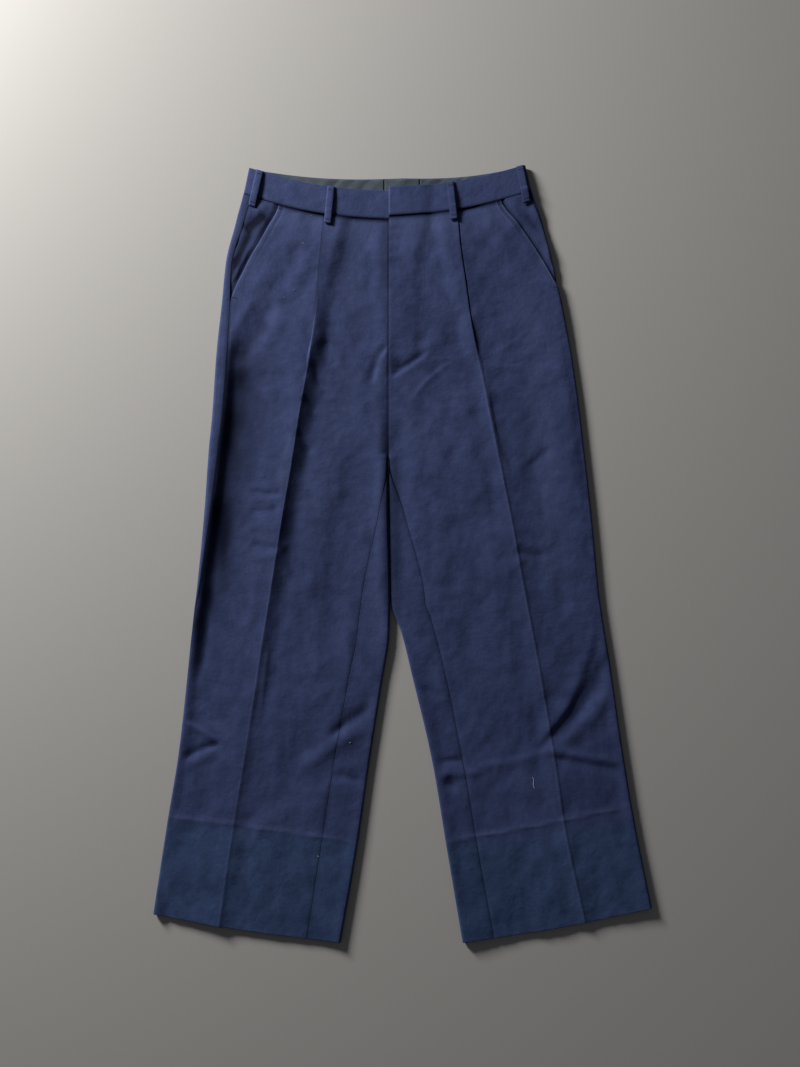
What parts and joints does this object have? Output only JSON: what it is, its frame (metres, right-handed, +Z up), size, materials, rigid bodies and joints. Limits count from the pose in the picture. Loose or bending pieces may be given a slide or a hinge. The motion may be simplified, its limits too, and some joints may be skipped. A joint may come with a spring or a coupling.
{
  "type": "pleated trousers",
  "caption": "Wide straight trousers laid flat, front up, with a reverse pleat and pressed crease on each leg, slant pockets, a fly and a waistband with belt loops.",
  "frame": {"origin": "middle of the laid garment's outline, on the surface it lies on", "axes": "+X towards the wearer's left, +Y from hems to waist, +Z up from the surface, out of the garment's front"},
  "size_m": [0.5998, 0.9979, 0.0101],
  "materials": {
    "navy_cloth": "matt fine wool weave",
    "band_lining": "smooth matt cotton",
    "zip_tape": "woven tape"
  },
  "bodies": {
    "root": {"front_right": "navy_cloth", "front_left": "navy_cloth", "back_right": "navy_cloth", "back_left": "navy_cloth", "pocket_facing_right": "navy_cloth", "pocket_facing_left": "navy_cloth", "waistband_right": "navy_cloth", "waistband_left": "navy_cloth", "loop_front_right": "navy_cloth", "loop_side_right": "navy_cloth", "loop_front_left": "navy_cloth", "loop_side_left": "navy_cloth", "loop_back_right": "navy_cloth", "loop_back_centre": "navy_cloth", "loop_back_left": "navy_cloth", "fly_shield": "navy_cloth", "band_lining_right": "band_lining", "band_lining_centre": "band_lining", "band_lining_left": "band_lining", "zip": "zip_tape"}
  },
  "joints": []
}
